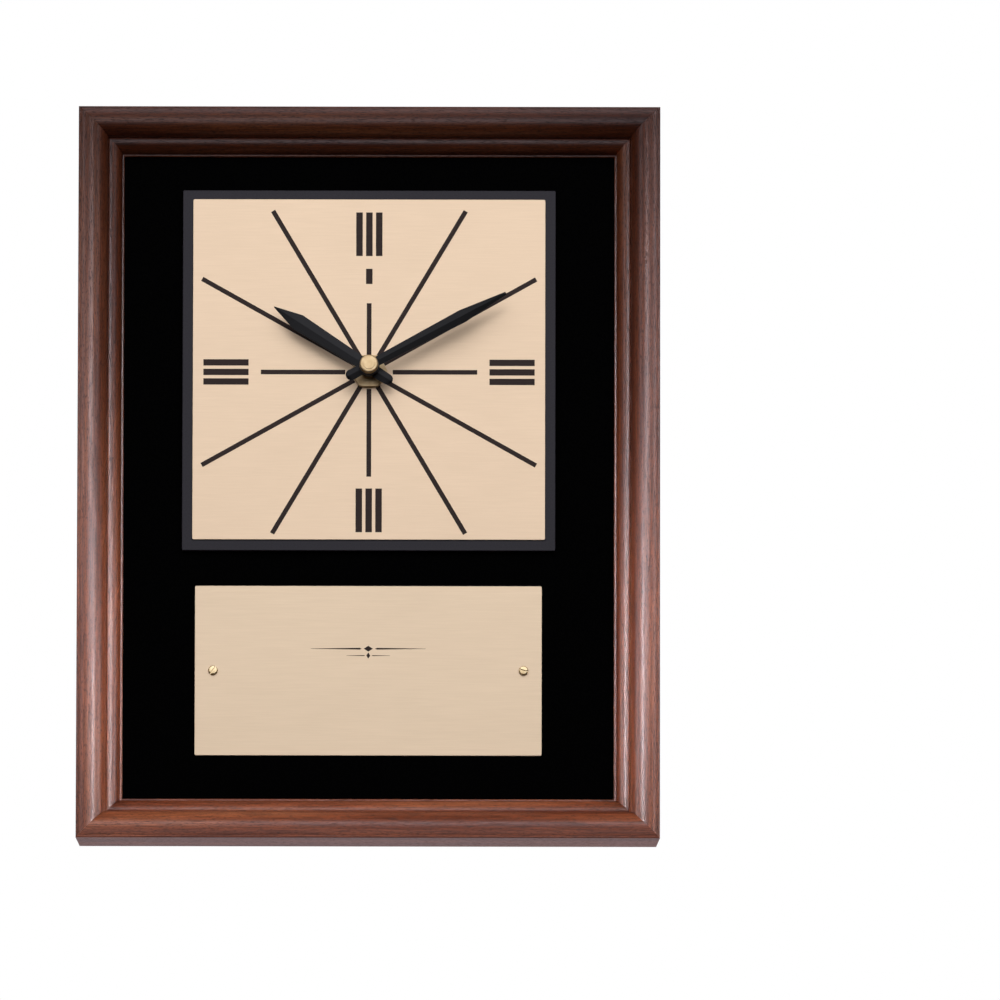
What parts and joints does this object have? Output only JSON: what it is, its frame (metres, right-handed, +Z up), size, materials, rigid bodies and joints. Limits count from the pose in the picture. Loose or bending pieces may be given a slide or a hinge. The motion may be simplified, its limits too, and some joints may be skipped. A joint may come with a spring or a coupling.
{
  "type": "wall clock plaque",
  "caption": "Wall plaque with a mitred wooden frame, a velour panel, a square brass clock dial with two hands and a brass plate for an engraving.",
  "frame": {"origin": "on the back of the top rail at the middle of the saw-tooth hanger, where the nail bears", "axes": "+Z up, +Y back to the wall, so the dial faces -Y, +X to the right as seen from the front"},
  "size_m": [0.295, 0.039, 0.383],
  "materials": {
    "walnut": "satin lacquered walnut",
    "hardboard": "bare brown hardboard",
    "velour": "black velour",
    "brass_sheet": "fine brushed and lacquered brass",
    "brass_hardware": "polished brass",
    "black_plate": "satin black",
    "black_hands": "satin black lacquer",
    "zinc_steel": "bright zinc",
    "rubber": "soft black rubber",
    "case_plastic": "moulded black",
    "wheel_plastic": "moulded natural white",
    "circuit_board": "green solder mask",
    "copper_wire": "enamelled copper wire",
    "cell_jacket": "plain printed sleeve, no marks"
  },
  "bodies": {
    "plaque": {"frame_top_rail": "walnut", "frame_right_stile": "walnut", "frame_bottom_rail": "walnut", "frame_left_stile": "walnut", "backing_board": "hardboard", "velour_panel": "velour", "dial_plate": "brass_sheet", "engraved_plate": "brass_sheet", "plate_screw_left": "brass_hardware", "plate_screw_right": "brass_hardware", "bushing_washer": "brass_hardware", "bushing_nut": "brass_hardware", "threaded_bushing": "brass_hardware", "clock_base_plate": "black_plate", "v_nail_1": "zinc_steel", "v_nail_2": "zinc_steel", "v_nail_3": "zinc_steel", "v_nail_4": "zinc_steel", "framers_point_1": "zinc_steel", "framers_point_2": "zinc_steel", "framers_point_3": "zinc_steel", "framers_point_4": "zinc_steel", "framers_point_5": "zinc_steel", "framers_point_6": "zinc_steel", "framers_point_7": "zinc_steel", "framers_point_8": "zinc_steel", "sawtooth_hanger": "zinc_steel", "hanger_nail_left": "zinc_steel", "hanger_nail_right": "zinc_steel", "battery_contact_negative": "zinc_steel", "battery_contact_positive": "zinc_steel", "quartz_crystal": "zinc_steel", "stator": "zinc_steel", "wall_bumper_left": "rubber", "wall_bumper_right": "rubber", "movement_front_case": "case_plastic", "movement_rear_cover": "case_plastic", "circuit_board": "circuit_board", "coil": "copper_wire", "battery_aa": "cell_jacket"},
    "minute_hand": {"minute_hand": "black_hands", "cap_nut": "brass_hardware", "minute_arbor": "brass_hardware"},
    "hour_hand": {"hour_hand": "black_hands", "hour_wheel": "wheel_plastic"},
    "minute_wheel": {"minute_wheel": "wheel_plastic", "setting_knob": "wheel_plastic"},
    "rotor": {"rotor": "zinc_steel"},
    "fifth_wheel": {"fifth_wheel": "wheel_plastic"},
    "fourth_wheel": {"fourth_wheel": "wheel_plastic"},
    "third_wheel": {"third_wheel": "wheel_plastic"},
    "centre_wheel": {"centre_wheel": "wheel_plastic"}
  },
  "joints": [
    {"name": "minute_hand_turn", "type": "hinge", "parent": "plaque", "child": "minute_hand", "pos_m": [0, -0.005, -0.126], "axis": [0, 1, 0], "continuous": true},
    {"name": "hour_hand_turn", "type": "hinge", "parent": "plaque", "child": "hour_hand", "pos_m": [0, -0.005, -0.126], "axis": [0, 1, 0], "continuous": true},
    {"name": "setting_knob_turn", "type": "hinge", "parent": "plaque", "child": "minute_wheel", "pos_m": [-0.00742, -0.005, -0.11858], "axis": [0, 1, 0], "continuous": true},
    {"name": "rotor_turn", "type": "hinge", "parent": "plaque", "child": "rotor", "pos_m": [0.00401, -0.005, -0.1041], "axis": [0, 1, 0], "continuous": true},
    {"name": "fifth_wheel_turn", "type": "hinge", "parent": "plaque", "child": "fifth_wheel", "pos_m": [0.00509, -0.005, -0.1102], "axis": [0, 1, 0], "continuous": true},
    {"name": "fourth_wheel_turn", "type": "hinge", "parent": "plaque", "child": "fourth_wheel", "pos_m": [0.01092, -0.005, -0.11233], "axis": [0, 1, 0], "continuous": true},
    {"name": "third_wheel_turn", "type": "hinge", "parent": "plaque", "child": "third_wheel", "pos_m": [0.00716, -0.005, -0.11884], "axis": [0, 1, 0], "continuous": true},
    {"name": "centre_wheel_turn", "type": "hinge", "parent": "plaque", "child": "centre_wheel", "pos_m": [0, -0.005, -0.126], "axis": [0, 1, 0], "continuous": true}
  ],
  "couplings": [
    {"joint": "hour_hand_turn", "follows": "minute_hand_turn", "ratio": 0.083333},
    {"joint": "setting_knob_turn", "follows": "minute_hand_turn", "ratio": -0.33333},
    {"joint": "fifth_wheel_turn", "follows": "rotor_turn", "ratio": -0.16667},
    {"joint": "fourth_wheel_turn", "follows": "rotor_turn", "ratio": 0.033333},
    {"joint": "third_wheel_turn", "follows": "rotor_turn", "ratio": -0.0044444},
    {"joint": "centre_wheel_turn", "follows": "rotor_turn", "ratio": 0.00055556}
  ]
}
